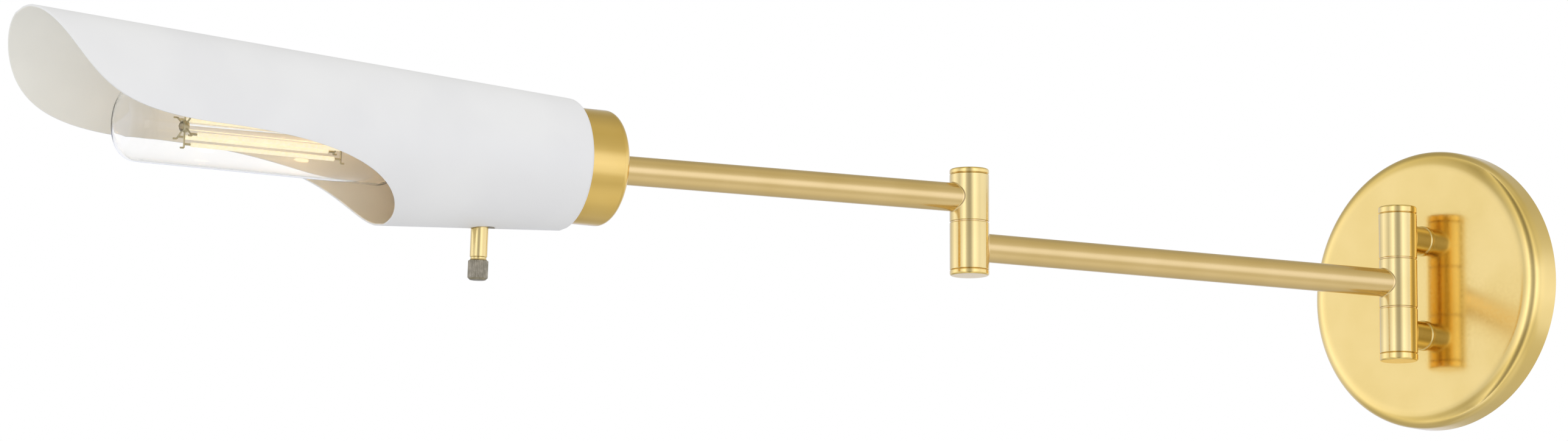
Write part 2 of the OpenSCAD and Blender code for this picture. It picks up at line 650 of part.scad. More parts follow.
// Ring of wire arms round the stem, each with a hook that holds one filament
module wire_star(s, hook) {
    translate([0, 0, s - 1.2]) tube(2.3, 1.6, 2.4);
    for (i = [0 : filaments_n - 1]) rotate([0, 0, 360 * (i + 0.5) / filaments_n]) {
        translate([2, 0, s]) rotate([0, 90, 0]) cylinder(r = 0.4, h = filament_ring - 2);
        translate([filament_ring, 0, s]) sphere(r = 0.7);
        translate([filament_ring, 0, s]) mirror([0, 0, hook < 0 ? 1 : 0]) cylinder(r = 0.4, h = abs(hook));
    }
}

module filament_supports() color(dark_steel) in_head() {
    wire_star(crown_s, -3);
    wire_star(foot_s, 3);
}

module filaments() color([1, 0.85, 0.5]) in_head() for (i = [0 : filaments_n - 1])
    rotate([0, 0, 360 * (i + 0.5) / filaments_n]) translate([filament_ring, 0, foot_s + 3])
        cylinder(r = filament_r, h = crown_s - foot_s - 6);

// ---- switch knob ----

module knob_stem() color(brass) at_knob() difference() {
    translate([0, 0, bushing_end + face_gap])
        cylinder(d = stem_d, h = grip_start - bushing_end - face_gap);
    cylinder(r = spindle_r, h = bushing_end + 8);
}

module knob_grip() color(dark_steel) at_knob() translate([0, 0, grip_start]) {
    knurls = 30;
    linear_extrude(height = grip_len - 0.6) polygon([for (i = [0 : 2 * knurls - 1])
        let (r = grip_d / 2 - 0.3 * (i % 2), a = 180 * i / knurls) [r * cos(a), r * sin(a)]]);
    translate([0, 0, grip_len - 0.6]) cylinder(r = grip_d / 2 - 0.6, h = 0.6);
}

module switch_spindle() color(steel) at_knob() translate([0, 0, 1])
    cylinder(r = spindle_r, h = bushing_end + 7);

module switch_cam() color(white_nylon) at_knob() translate([0, 0, 1.5]) difference() {
    translate([-cam_w / 2, -cam_w / 2, 0]) cube([cam_w, cam_w, 5]);
    translate([0, 0, -1]) cylinder(r = spindle_r, h = 7);
}

backplate();
wall_bracket();
bracket_grub_screws();
earth_screw();
upper_post();
lower_post();
post_lock_washers();
post_nuts();
hinge_barrel_upper();
hinge_barrel_lower();
hinge_pin();
hinge_thrust_washers();
wall_stop_pin();
hinge_spring_washer();
hinge_lock_nut();
hinge_caps();
supply_leads();
hinge_barrel_swing();
inner_arm();
inner_arm_wires();
elbow_barrel_lower();
elbow_pin();
elbow_caps();
elbow_thrust_washer();
elbow_stop_pin();
elbow_spring_washer();
elbow_lock_nut();
elbow_barrel_upper();
outer_arm();
head_nipple();
outer_arm_wires();
swivel_washer();
swivel_friction_washer();
swivel_spring_washer();
head_stop_washer();
swivel_nut();
cup();
cup_stop_pin();
shade();
shade_screws();
socket_nipple();
socket_nut();
socket_cap();
switch_body();
socket_shell();
insulating_sleeve();
screw_shell();
centre_contact();
switch_bushing();
bulb_glass();
bulb_base();
bulb_base_insulator();
bulb_tip_contact();
bulb_stem();
filament_supports();
filaments();
knob_stem();
knob_grip();
switch_spindle();
switch_cam();
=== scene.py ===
"""Looks of the swing arm wall sconce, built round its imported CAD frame.

The wall lies in the XZ plane, the room is towards -Y and +Z is up. Sections and profiles are in
millimetres and are scaled once, where a mesh is made. Everything else is in metres.
"""

import json
import math

import bpy
import numpy as np
from mathutils import Matrix, Vector

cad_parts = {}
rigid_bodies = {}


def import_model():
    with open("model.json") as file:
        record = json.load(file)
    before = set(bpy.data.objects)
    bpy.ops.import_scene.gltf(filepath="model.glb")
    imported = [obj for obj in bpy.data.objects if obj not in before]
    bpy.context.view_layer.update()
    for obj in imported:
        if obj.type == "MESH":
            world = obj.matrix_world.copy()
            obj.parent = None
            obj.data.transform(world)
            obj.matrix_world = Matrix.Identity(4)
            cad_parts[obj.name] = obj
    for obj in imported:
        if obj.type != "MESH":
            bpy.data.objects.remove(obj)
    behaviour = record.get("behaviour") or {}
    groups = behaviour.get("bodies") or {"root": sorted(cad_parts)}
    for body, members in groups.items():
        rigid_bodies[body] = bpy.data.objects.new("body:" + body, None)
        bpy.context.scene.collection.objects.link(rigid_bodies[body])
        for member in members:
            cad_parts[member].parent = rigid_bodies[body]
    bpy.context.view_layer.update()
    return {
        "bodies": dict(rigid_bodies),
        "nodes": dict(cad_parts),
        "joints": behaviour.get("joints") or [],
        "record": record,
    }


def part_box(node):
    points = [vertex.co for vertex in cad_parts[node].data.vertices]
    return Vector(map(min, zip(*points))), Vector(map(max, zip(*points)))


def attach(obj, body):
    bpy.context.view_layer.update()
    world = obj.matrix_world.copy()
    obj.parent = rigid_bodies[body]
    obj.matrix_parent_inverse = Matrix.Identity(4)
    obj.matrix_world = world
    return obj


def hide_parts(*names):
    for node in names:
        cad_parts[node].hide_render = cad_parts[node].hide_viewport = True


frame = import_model()
joints = {j["name"]: j for j in frame["joints"]}

MM = 0.001
UP = (0, 0, 1)
HAIR = 0.02                           # slack that keeps touching faces from sharing a plane
SINK = 0.05                           # how far a fillet or a cap sinks into the piece beside it


# ---- places ----

def place_at(origin, z_axis, y_axis=UP):
    """Matrix with its local z along z_axis and its local y as near to y_axis as it can be."""
    z = Vector(z_axis).normalized()
    x = Vector(y_axis).cross(z).normalized()
    place = Matrix((x, z.cross(x), z)).transposed().to_4x4()
    place.translation = Vector(origin)
    return place


def measure(node, place):
    """Largest radius, lowest z and highest z of a CAD node in a local place, in millimetres."""
    inverse = place.inverted()
    co = np.array([inverse @ v.co for v in frame["nodes"][node].data.vertices]) / MM
    return np.hypot(co[:, 0], co[:, 1]).max(), co[:, 2].min(), co[:, 2].max()


hinge_point = Vector(joints["wall_swing"]["pos_m"])
elbow_point = Vector(joints["elbow_swing"]["pos_m"])
head_point = Vector(joints["head_roll"]["pos_m"])
head_line = Vector(joints["head_roll"]["axis"])
knob_line = Vector(joints["switch_turn"]["axis"])

at_wall = place_at((0, 0, 0), (0, -1, 0))
at_hinge = place_at(hinge_point, UP, (0, 1, 0))
at_elbow = place_at(elbow_point, UP, (0, 1, 0))
in_head = place_at(head_point, head_line, -knob_line)
at_knob = place_at(joints["switch_turn"]["pos_m"], knob_line, head_line)

outer_low, outer_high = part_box("outer_arm")
outer_height = (outer_low.z + outer_high.z) / 2
cup_r, cup_back, _ = measure("cup", in_head)
cup_point = in_head @ Vector((0, 0, cup_back * MM))
along_inner = place_at(hinge_point, elbow_point - hinge_point)
outer_foot = Vector((elbow_point.x, elbow_point.y, outer_height))
outer_line = Vector((cup_point.x, cup_point.y, outer_height)) - outer_foot
along_outer = place_at(outer_foot, outer_line)


# ---- mesh making ----

FILLET_STEP = math.radians(14)
EDGE_SHARE = 0.48                     # a fillet takes less than half of the edge on each side of it
POLE_R = 1e-6                         # a row of points nearer to the axis than this is one point


def add_object(name, data):
    """New object in the scene."""
    thing = bpy.data.objects.new(name, data)
    bpy.context.scene.collection.objects.link(thing)
    return thing


def fillet_path(corners, ring):
    """(radius, height) points along a path of (radius, height, fillet) corners, each corner rounded."""
    points = []
    last = len(corners) - 1
    for i, (r, z, fillet) in enumerate(corners):
        here = Vector((r, z))
        if fillet == 0 or (not ring and i in (0, last)):
            points.append(here)
            continue
        before = Vector(corners[i - 1][:2]) - here
        after = Vector(corners[(i + 1) % len(corners)][:2]) - here
        u, v = before.normalized(), after.normalized()
        half = u.angle(v) / 2
        reach = min(fillet / math.tan(half), EDGE_SHARE * before.length, EDGE_SHARE * after.length)
        centre = here + (u + v).normalized() * (reach / math.cos(half))
        start, end = here + u * reach - centre, here + v * reach - centre
        first = math.atan2(start.y, start.x)
        turn = (math.atan2(end.y, end.x) - first + math.pi) % (2 * math.pi) - math.pi
        steps = max(2, math.ceil(abs(turn) / FILLET_STEP))
        for k in range(steps + 1):
            angle = first + turn * k / steps
            points.append(centre + start.length * Vector((math.cos(angle), math.sin(angle))))
    return [tuple(point) for point in points]


def full_turn(segments):
    """Evenly spaced angles round a full turn."""
    return [2 * math.pi * i / segments for i in range(segments)]


def mesh_piece(name, verts, faces, place):
    """Mesh object from millimetre points in a local place, smooth with area-weighted normals."""
    mesh = bpy.data.meshes.new(name)
    mesh.from_pydata([place @ (Vector(v) * MM) for v in verts], [], faces)
    mesh.validate()
    piece = add_object(name, mesh)
    mesh.shade_smooth()
    weighted = piece.modifiers.new("weighted", "WEIGHTED_NORMAL")
    weighted.keep_sharp = True
    return piece


def turned(name, section, place, angles, ring):
    """Piece whose section, a list of (radius, height), may change with the angle round its axis.

    A ring's section is a closed loop; otherwise it starts and ends on the axis."""
    columns = [section(a) for a in angles]
    count, rows = len(columns), len(columns[0])
    verts, index = [], {}
    for j in range(rows):
        pole = all(column[j][0] < POLE_R for column in columns)
        for i, column in enumerate(columns):
            if pole and i:
                index[i, j] = index[0, j]
                continue
            r, z = column[j]
            index[i, j] = len(verts)
            verts.append((r * math.cos(angles[i]), r * math.sin(angles[i]), z))
    faces = []
    for j in range(rows if ring else rows - 1):
        k = (j + 1) % rows
        for i in range(count):
            n = (i + 1) % count
            corners = [index[i, j], index[n, j], index[n, k], index[i, k]]
            face = [c for m, c in enumerate(corners) if c not in corners[:m]]
            if len(face) > 2:
                faces.append(face)
    piece = mesh_piece(name, verts, faces, place)
    outward(piece)
    return piece


def outward(piece):
    """Makes a closed mesh's faces look outwards."""
    mesh = piece.data
    volume = 0.0
    for face in mesh.polygons:
        points = [mesh.vertices[v].co for v in face.vertices]
        for a, b in zip(points[1:-1], points[2:]):
            volume += points[0].dot(a.cross(b))
    if volume < 0:
        mesh.flip_normals()


def lathe(name, corners, place, segments=64, ring=True):
    """Piece turned from one section of (radius, height, fillet) corners."""
    points = fillet_path(corners, ring)
    return turned(name, lambda angle: points, place, full_turn(segments), ring)


def tube_between(name, a, b, radius, segments=12):
    """Thin rod with rounded ends from point a to point b, in millimetres of the head's place."""
    a, b = Vector(a), Vector(b)
    line = b - a
    side = (1, 0, 0) if abs(line.normalized().x) < 0.9 else (0, 1, 0)
    place = in_head.to_3x3().to_4x4() @ place_at((0, 0, 0), line, side)
    place.translation = in_head @ (a * MM)
    soft = 0.6 * radius
    corners = [(0, 0, 0), (radius, 0, soft), (radius, line.length, soft), (0, line.length, 0)]
    return lathe(name, corners, place, segments, ring=False)


def joined(name, pieces):
    """One object from several, in the first one's place in the list."""
    bpy.ops.object.select_all(action="DESELECT")
    for piece in pieces:
        piece.select_set(True)
    bpy.context.view_layer.objects.active = pieces[0]
    bpy.ops.object.join()
    pieces[0].name = name
    return pieces[0]


def finish_piece(piece, body, material, node):
    """Gives a piece its material and its body, and hides the CAD node that it stands for."""
    piece.data.materials.clear()
    piece.data.materials.append(material)
    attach(piece, body)
    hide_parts(node)


# ---- materials ----

RELIEF_DEPTH = 0.0001
GLASS_IOR = 1.33                      # under that of real glass, so that the thin envelope stays clear


def new_material(name):
    """Material with its shader and a texture coordinate in metres."""
    material = bpy.data.materials.new(name)
    material.use_nodes = True
    nodes, links = material.node_tree.nodes, material.node_tree.links
    shader = nodes["Principled BSDF"]
    where = nodes.new("ShaderNodeTexCoord").outputs["Object"]
    return material, nodes, links, shader, where


def noise(nodes, links, where, scale, detail=2.0, stretch=(1, 1, 1)):
    """Noise value over the surface, stretched along an axis if asked."""
    mapping = nodes.new("ShaderNodeMapping")
    mapping.inputs["Scale"].default_value = stretch
    texture = nodes.new("ShaderNodeTexNoise")
    texture.inputs["Scale"].default_value = scale
    texture.inputs["Detail"].default_value = detail
    links.new(where, mapping.inputs["Vector"])
    links.new(mapping.outputs["Vector"], texture.inputs["Vector"])
    return texture.outputs["Fac"]


def spread(nodes, links, value, low, high):
    """A noise value spread over a range."""
    ranged = nodes.new("ShaderNodeMapRange")
    ranged.inputs["From Min"].default_value = 0.3
    ranged.inputs["From Max"].default_value = 0.7
    ranged.inputs["To Min"].default_value = low
    ranged.inputs["To Max"].default_value = high
    links.new(value, ranged.inputs["Value"])
    return ranged.outputs["Result"]


def two_tone(nodes, links, value, dark, light):
    """Colour that runs between two tones with a noise value."""
    ramp = nodes.new("ShaderNodeValToRGB")
    ramp.color_ramp.elements[0].position = 0.35
    ramp.color_ramp.elements[1].position = 0.65
    ramp.color_ramp.elements[0].color = (*dark, 1)
    ramp.color_ramp.elements[1].color = (*light, 1)
    links.new(value, ramp.inputs["Fac"])
    return ramp.outputs["Color"]


def surface(name, dark, light, rough, grain, relief, metal=0.0, cloud=40.0, stretch=(1, 1, 1)):
    """Everyday solid material: cloudy two-tone colour, uneven gloss and a fine relief."""
    material, nodes, links, shader, where = new_material(name)
    clouds = noise(nodes, links, where, cloud)
    fine = noise(nodes, links, where, grain, 3.0, stretch)
    links.new(two_tone(nodes, links, clouds, dark, light), shader.inputs["Base Color"])
    links.new(spread(nodes, links, fine, *rough), shader.inputs["Roughness"])
    shader.inputs["Metallic"].default_value = metal
    bump = nodes.new("ShaderNodeBump")
    bump.inputs["Strength"].default_value = relief
    bump.inputs["Distance"].default_value = RELIEF_DEPTH
    links.new(fine, bump.inputs["Height"])
    links.new(bump.outputs["Normal"], shader.inputs["Normal"])
    return material


def glass_material(name, tint, rough):
    """Clear glass with faint streaks in its gloss."""
    material, nodes, links, shader, where = new_material(name)
    streaks = noise(nodes, links, where, 90.0, 2.0, (1, 1, 0.2))
    links.new(spread(nodes, links, streaks, *rough), shader.inputs["Roughness"])
    shader.inputs["Base Color"].default_value = (*tint, 1)
    shader.inputs["Transmission Weight"].default_value = 1.0
    shader.inputs["IOR"].default_value = GLASS_IOR
    return material


def glowing_material(name, dark, light, glow, strength):
    """Phosphor of a lit filament, brighter and dimmer along its length."""
    material, nodes, links, shader, where = new_material(name)
    beads = noise(nodes, links, where, 700.0)
    links.new(two_tone(nodes, links, beads, dark, light), shader.inputs["Base Color"])
    links.new(spread(nodes, links, beads, *strength), shader.inputs["Emission Strength"])
    shader.inputs["Emission Color"].default_value = (*glow, 1)
    shader.inputs["Roughness"].default_value = 0.5
    return material


polished_brass = surface("polished_brass", (0.86, 0.63, 0.22), (0.90, 0.67, 0.25),
                         (0.13, 0.19), 700.0, 0.03, metal=1.0)
satin_brass = surface("satin_brass", (0.80, 0.585, 0.26), (0.84, 0.62, 0.29),
                      (0.17, 0.25), 1500.0, 0.06, metal=1.0)
barrel_brass = surface("barrel_brass", (0.80, 0.61, 0.25), (0.84, 0.65, 0.28),
                       (0.12, 0.19), 1500.0, 0.05, metal=1.0)
cup_brass = surface("cup_brass", (0.81, 0.55, 0.16), (0.85, 0.59, 0.19),
                    (0.07, 0.11), 700.0, 0.03, metal=1.0)
zinc_steel = surface("zinc_steel", (0.50, 0.50, 0.52), (0.62, 0.62, 0.64),
                     (0.28, 0.42), 500.0, 0.15, metal=1.0, cloud=120.0)
green_steel = surface("green_steel", (0.03, 0.13, 0.05), (0.05, 0.18, 0.07),
                      (0.30, 0.45), 800.0, 0.15, metal=0.4)
nickel_plate = surface("nickel_plate", (0.66, 0.62, 0.50), (0.76, 0.72, 0.60),
                       (0.14, 0.24), 600.0, 0.08, metal=1.0, cloud=200.0)
pewter = surface("knurled_pewter", (0.27, 0.24, 0.17), (0.42, 0.37, 0.27),
                 (0.30, 0.45), 1800.0, 0.25, metal=1.0, cloud=350.0)
support_wire = surface("support_wire", (0.46, 0.40, 0.24), (0.60, 0.53, 0.34),
                       (0.30, 0.42), 1500.0, 0.1, metal=1.0, cloud=300.0)
white_paint = surface("white_paint", (0.77, 0.77, 0.78), (0.80, 0.80, 0.805),
                      (0.42, 0.55), 2600.0, 0.22, cloud=25.0)
# warmer, slightly brighter white that the shade's inner faces get
inner_warm_white = surface("inner_warm_white", (0.82, 0.81, 0.76), (0.86, 0.85, 0.80),
                      (0.45, 0.60), 2600.0, 0.22, cloud=25.0)
black_resin = surface("black_resin", (0.012, 0.012, 0.013), (0.03, 0.03, 0.032),
                      (0.25, 0.40), 900.0, 0.2, cloud=150.0)
fibre = surface("fibre", (0.16, 0.07, 0.04), (0.24, 0.12, 0.07),
                (0.65, 0.85), 1600.0, 0.5, cloud=300.0)
nylon = surface("nylon", (0.78, 0.76, 0.70), (0.84, 0.82, 0.77),
                (0.35, 0.50), 900.0, 0.1, cloud=150.0)
wire_sleeve = surface("wire_sleeve", (0.010, 0.010, 0.011), (0.028, 0.028, 0.03),
                      (0.35, 0.55), 1200.0, 0.2, cloud=120.0)
clear_glass = glass_material("clear_glass", (1.0, 1.0, 1.0), (0.0, 0.02))
filament_glow = glowing_material("filament_glow", (0.56, 0.50, 0.33), (0.64, 0.57, 0.39),
                                 (1.0, 0.91, 0.66), (0.58, 0.70))

BY_SLOT = {
    "polished_brass": polished_brass, "satin_brass": satin_brass, "zinc_steel": zinc_steel,
    "green_steel": green_steel, "wire_sleeve": wire_sleeve, "fibre": fibre, "nylon": nylon,
    "white_paint": white_paint, "black_resin": black_resin, "nickel_plate": nickel_plate,
    "clear_glass": clear_glass, "filament": filament_glow, "knurled_pewter": pewter}

for part in frame["record"]["subparts"]:
    cad_node = frame["nodes"][part["node"]]
    cad_node.data.materials.clear()
    cad_node.data.materials.append(BY_SLOT[part["material_slot"]])


# ---- wall plate and posts ----

PLATE_WALL = 1.6
PLATE_FLAT_R = 30                     # radius out to which the plate's face is one flat fan
RIM_ACROSS = 9.0                      # how far in from the side the rolled rim starts
RIM_DOWN = 8.0                        # how far below the face it meets the side
RIM_POWER = 0.8                       # 1 would be an ellipse; less is a fuller curve
HEM_IN = 1.2                          # how far the hem turns in from the plate's wall
plate_r, _, plate_depth = measure("backplate", at_wall)
barrel_r = measure("hinge_barrel_upper", at_hinge)[0]


def rolled_rim(radius, face, across, down, steps=16):
    """Softly rolled rim as (radius, height) points, from the face outwards to the side."""
    rim = []
    for k in range(steps + 1):
        turn = math.pi / 2 * k / steps
        inward = across * (1 - math.sin(turn) ** RIM_POWER)
        drop = down * (1 - max(math.cos(turn), 0) ** RIM_POWER)
        rim.append((radius - inward, face - drop))
    return rim


def make_wall_plate():
    """Spun plate: flat face, rolled rim and a small turned-in hem against the wall."""
    inner = plate_r - PLATE_WALL
    inner_face = plate_depth - PLATE_WALL
    outside = [(0, plate_depth), (PLATE_FLAT_R, plate_depth)]
    outside += rolled_rim(plate_r, plate_depth, RIM_ACROSS, RIM_DOWN)
    hem = fillet_path(
        [(plate_r, 6, 0), (plate_r, 0.1, 0.5), (inner - HEM_IN, 0.1, 0.5), (inner - HEM_IN, 1.3, 0.5),
         (inner, 1.9, 0.5), (inner, 5, 0)], ring=False)
    inside = rolled_rim(inner, inner_face, RIM_ACROSS - PLATE_WALL, RIM_DOWN - PLATE_WALL)[::-1]
    inside.append((0, inner_face))
    section = outside + hem + inside
    plate = turned("wall_plate", lambda angle: section, at_wall, full_turn(160), ring=False)
    finish_piece(plate, "wall_mount", polished_brass, "backplate")


def barrel_gap(x):
    """Distance from a barrel's axis to its side, at a sideways offset x."""
    return math.sqrt(max(barrel_r ** 2 - x ** 2, 0))


BRAZE = 0.7                           # size of the fillet where a tube is brazed to a barrel
TUBE_BORE = 5.0


def braze_fillet(r, angle, steps=4):
    """Concave fillet from a tube of radius r onto a barrel, as (radius, distance from the axis)."""
    side = math.cos(angle)
    start = (r, barrel_gap(r * side) + BRAZE)
    knee = (r, barrel_gap(r * side))
    end = (r + BRAZE, barrel_gap((r + BRAZE) * side) - SINK)
    points = []
    for k in range(steps + 1):
        t = k / steps
        weights = ((1 - t) ** 2, 2 * t * (1 - t), t * t)
        points.append(tuple(sum(w * p[i] for w, p in zip(weights, (start, knee, end))) for i in (0, 1)))
    return points


POST_BORE = 3.2
POST_TAIL = 8.1                       # how far the post's threaded tail reaches behind the plate's face
SHOULDER_H = 1.3
SHOULDER_OUT = 0.5


def make_post(name, node, height):
    """Post from the plate to the hinge barrel, with a shoulder at the plate and a brazed front end."""
    place = at_wall @ Matrix.Translation((0, height, 0))
    radius = measure(node, place)[0]
    axis = -hinge_point.y / MM
    tail_r = TUBE_BORE - HAIR
    tail_end = plate_depth - POST_TAIL
    shoulder_r = radius + SHOULDER_OUT
    shoulder_top = plate_depth + SHOULDER_H
    shoulder = fillet_path(
        [(radius, axis, 0), (radius, shoulder_top, 0.3), (shoulder_r, shoulder_top - 0.2, 0.3),
         (shoulder_r, plate_depth, 0.2), (tail_r, plate_depth, 0.1), (tail_r, tail_end, 0.3),
         (POST_BORE, tail_end, 0)], ring=False)[1:]

    def section(angle):
        front = [(r, axis - gap) for r, gap in braze_fillet(radius, angle)]
        inside = (POST_BORE, axis - barrel_gap(TUBE_BORE * math.cos(angle)))
        return [inside] + front[::-1] + shoulder

    post = turned(name, section, place, full_turn(64), ring=True)
    finish_piece(post, "wall_mount", barrel_brass, node)


def make_posts():
    """Upper and lower post."""
    for name, node in (("post_upper", "upper_post"), ("post_lower", "lower_post")):
        low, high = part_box(node)
        make_post(name, node, (low.z + high.z) / 2)


# ---- hinges ----

BORE_EDGE = 0.2                       # rounding of an edge at a bore
BARREL_EDGE = 0.35                    # rounding of a barrel's rims, and the depth of the caps' groove
CAP_EDGE = 0.9
PIN_GAP = 0.1                         # a turning barrel's clearance round the pin
FACE_GAP = 0.05                       # the elbow caps' play above the turning barrel


def make_barrel(name, node, place, body, bore):
    """Hinge barrel with softly broken edges."""
    radius, low, high = measure(node, place)
    corners = [(bore, low, BORE_EDGE), (radius, low, BARREL_EDGE), (radius, high, BARREL_EDGE),
               (bore, high, BORE_EDGE)]
    finish_piece(lathe(name, corners, place, 96), body, barrel_brass, node)


def make_caps(name, node, place, body, barrel_top, barrel_foot):
    """Flat end caps with a rounded rim, and a fine groove where each meets its barrel."""
    radius, low, high = measure(node, place)
    groove_r = radius - BARREL_EDGE
    pieces = []
    for foot, end in ((barrel_top, high), (barrel_foot, low)):
        up = 1 if end > foot else -1
        corners = [(0, foot, 0), (groove_r, foot, 0), (groove_r, foot + 0.3 * up, 0.1),
                   (radius, foot + 0.45 * up, 0.15), (radius, end, CAP_EDGE), (0, end, 0)]
        pieces.append(lathe(name, corners, place, 96, ring=False))
    finish_piece(joined(name, pieces), body, polished_brass, node)


def make_hinges():
    """Barrels and caps of the wall hinge and of the elbow."""
    pin_r = measure("hinge_pin", at_hinge)[0]
    make_barrel("barrel_upper", "hinge_barrel_upper", at_hinge, "wall_mount", pin_r)
    make_barrel("barrel_lower", "hinge_barrel_lower", at_hinge, "wall_mount", pin_r)
    make_barrel("barrel_swing", "hinge_barrel_swing", at_hinge, "inner_arm_link", pin_r + PIN_GAP)
    top = measure("hinge_barrel_upper", at_hinge)[2]
    foot = measure("hinge_barrel_lower", at_hinge)[1]
    make_caps("caps_hinge", "hinge_caps", at_hinge, "wall_mount", top, foot)
    make_barrel("elbow_lower", "elbow_barrel_lower", at_elbow, "inner_arm_link", pin_r)
    make_barrel("elbow_upper", "elbow_barrel_upper", at_elbow, "outer_arm_link", pin_r + PIN_GAP)
    top = measure("elbow_barrel_upper", at_elbow)[2] + FACE_GAP
    foot = measure("elbow_barrel_lower", at_elbow)[1]
    make_caps("caps_elbow", "elbow_caps", at_elbow, "inner_arm_link", top, foot)


# ---- arms ----

def make_inner_arm():
    """Tube brazed to a barrel at each end."""
    length = (elbow_point - hinge_point).length / MM
    low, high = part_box("inner_arm")
    radius = (high.z - low.z) / 2 / MM

    def section(angle):
        rear = braze_fillet(radius, angle)
        front = [(r, length - gap) for r, gap in rear]
        gap = barrel_gap(TUBE_BORE * math.cos(angle))
        return [(TUBE_BORE, gap)] + rear[::-1] + front + [(TUBE_BORE, length - gap)]

    arm = turned("arm_inner", section, along_inner, full_turn(64), ring=True)
    finish_piece(arm, "inner_arm_link", satin_brass, "inner_arm")


def make_outer_arm():
    """Tube brazed to the upper elbow barrel, its front end cut to lie flat against the head's washer."""
    _, washer_back, _ = measure("swivel_washer", in_head)
    end = along_outer.inverted() @ (in_head @ Vector((0, 0, washer_back * MM)))
    length = end.z / MM
    radius = measure("outer_arm", along_outer)[0]
    last_row = length - 20

    def section(angle):
        rear = braze_fillet(radius, angle)
        gap = barrel_gap(TUBE_BORE * math.cos(angle))
        slope = head_line.z * math.sin(angle)
        outer_end, bore_end = [length + slope * r - HAIR for r in (radius, TUBE_BORE)]
        front = fillet_path(
            [(radius, last_row, 0), (radius, outer_end, 0.35), (TUBE_BORE, bore_end, 0.2),
             (TUBE_BORE, last_row, 0)], ring=False)
        return [(TUBE_BORE, gap)] + rear[::-1] + front

    arm = turned("arm_outer", section, along_outer, full_turn(64), ring=True)
    finish_piece(arm, "outer_arm_link", satin_brass, "outer_arm")


# ---- head ----

NIPPLE_HOLE = 5.05
CUP_WALL = 1.6
CUP_FLOOR = 2.0
CUP_LIP_R = 18.5                      # radius inside the lip that carries the shade
CUP_LIP_T = 3.0
CUP_EDGE = 3.5


def make_cup():
    """Turned cup with a soft rear edge and a lip inside its mouth."""
    inside = cup_r - CUP_WALL
    floor = cup_back + CUP_FLOOR
    corners = [
        (NIPPLE_HOLE, cup_back, 0.2), (cup_r, cup_back, CUP_EDGE), (cup_r, -HAIR, 0.3),
        (CUP_LIP_R, -HAIR, 0.2), (CUP_LIP_R, -CUP_LIP_T, 0.2), (inside, -CUP_LIP_T, 0.2),
        (inside, floor, 2.0), (NIPPLE_HOLE, floor, 0.2)]
    finish_piece(lathe("head_cup", corners, in_head, 128), "head", cup_brass, "cup")


SHADE_T = 1.0
SHADE_FLOOR = 1.2
SHADE_EDGE = 2.5
SHADE_REAR_R = 28.7
SHADE_ROWS = 26                       # rows of faces along each side of the wall
ROLL_H = 0.45                         # height of the rounded-over edge of the scoop
ROLL_STEPS = 5
SCOOP_STEPS = 56
# side outline of the scoop, as control points (distance from the rear, height above the axis)
SCOOP_FRONT = ((256.5, 44.6), (242.8, 12.8), (236.7, -1.1), (180.7, -2.2))
SCOOP_THROAT = ((180.7, -2.2), (127.7, -3.2), (93.4, -12.5), (86.6, -36))
THROAT_DIP = 0.4                      # how far the lowest point lies behind the last control point
shade_length = measure("shade", in_head)[2]


def cubic(p, t):
    """Point on a cubic curve with four control points."""
    weights = ((1 - t) ** 3, 3 * (1 - t) ** 2 * t, 3 * (1 - t) * t * t, t ** 3)
    return [sum(w * q[k] for w, q in zip(weights, p)) for k in (0, 1)]


def shade_flare():
    """Growth of the shade's radius per millimetre, from its CAD solid."""
    inverse = in_head.inverted()
    co = np.array([inverse @ v.co for v in frame["nodes"]["shade"].data.vertices]) / MM
    front = co[co[:, 2] > shade_length - 0.5]
    return (np.hypot(front[:, 0], front[:, 1]).max() - SHADE_REAR_R) / shade_length


def scoop_edge(flare):
    """(angle, distance from the rear) along half of the scoop's edge, from its throat to the tip."""
    curve = [cubic(SCOOP_THROAT, 1 - i / SCOOP_STEPS) for i in range(SCOOP_STEPS)]
    curve += [cubic(SCOOP_FRONT, 1 - i / SCOOP_STEPS) for i in range(SCOOP_STEPS + 1)]
    edge = []
    for s, height in curve:
        lift = height / (SHADE_REAR_R + flare * s)
        if -1 < lift < 1:
            edge.append((math.asin(lift), min(s, shade_length)))
    throat = SCOOP_THROAT[3][0] - THROAT_DIP
    return [(-math.pi / 2, throat)] + edge + [(math.pi / 2, shade_length)]


def make_shade():
    """Spun conical shade: rear disc, rolled rear edge, and a scoop whose edge is rounded over."""
    flare = shade_flare()
    half = scoop_edge(flare)
    edge = dict(half + [(math.pi - a, s) for a, s in half[-2:0:-1]])

    def outer(s):
        return SHADE_REAR_R + flare * s

    def section(angle):
        reach = edge[angle] - ROLL_H
        outside = fillet_path(
            [(NIPPLE_HOLE, 0, 0), (outer(0), 0, SHADE_EDGE), (outer(reach), reach, 0)], ring=False)[:-1]
        inside = fillet_path(
            [(outer(reach) - SHADE_T, reach, 0), (outer(0) - SHADE_T, SHADE_FLOOR, SHADE_EDGE - SHADE_T),
             (NIPPLE_HOLE, SHADE_FLOOR, 0)], ring=False)[1:]
        start, back = outside[-1][1], inside[0][1]
        points = list(outside)
        for k in range(1, SHADE_ROWS + 1):
            s = start + (reach - start) * k / SHADE_ROWS
            points.append((outer(s), s))
        middle = outer(reach) - SHADE_T / 2
        for k in range(1, ROLL_STEPS):
            turn = math.pi * k / ROLL_STEPS
            points.append((middle + SHADE_T / 2 * math.cos(turn), reach + ROLL_H * math.sin(turn)))
        for k in range(SHADE_ROWS):
            s = reach + (back - reach) * k / SHADE_ROWS
            points.append((outer(s) - SHADE_T, s))
        return points + inside

    shade = turned("head_shade", section, in_head, list(edge), ring=True)
    cut_knob_slot(shade)
    finish_piece(shade, "head", white_paint, "shade")
    tone_inside(shade)


KNOB_SLOT_W = 9.4
KNOB_SLOT_FRONT = 5.0                 # the slot's ends, from the knob's axis
KNOB_SLOT_BACK = 6.9
KNOB_SLOT_STEPS = 12                  # in each rounded end


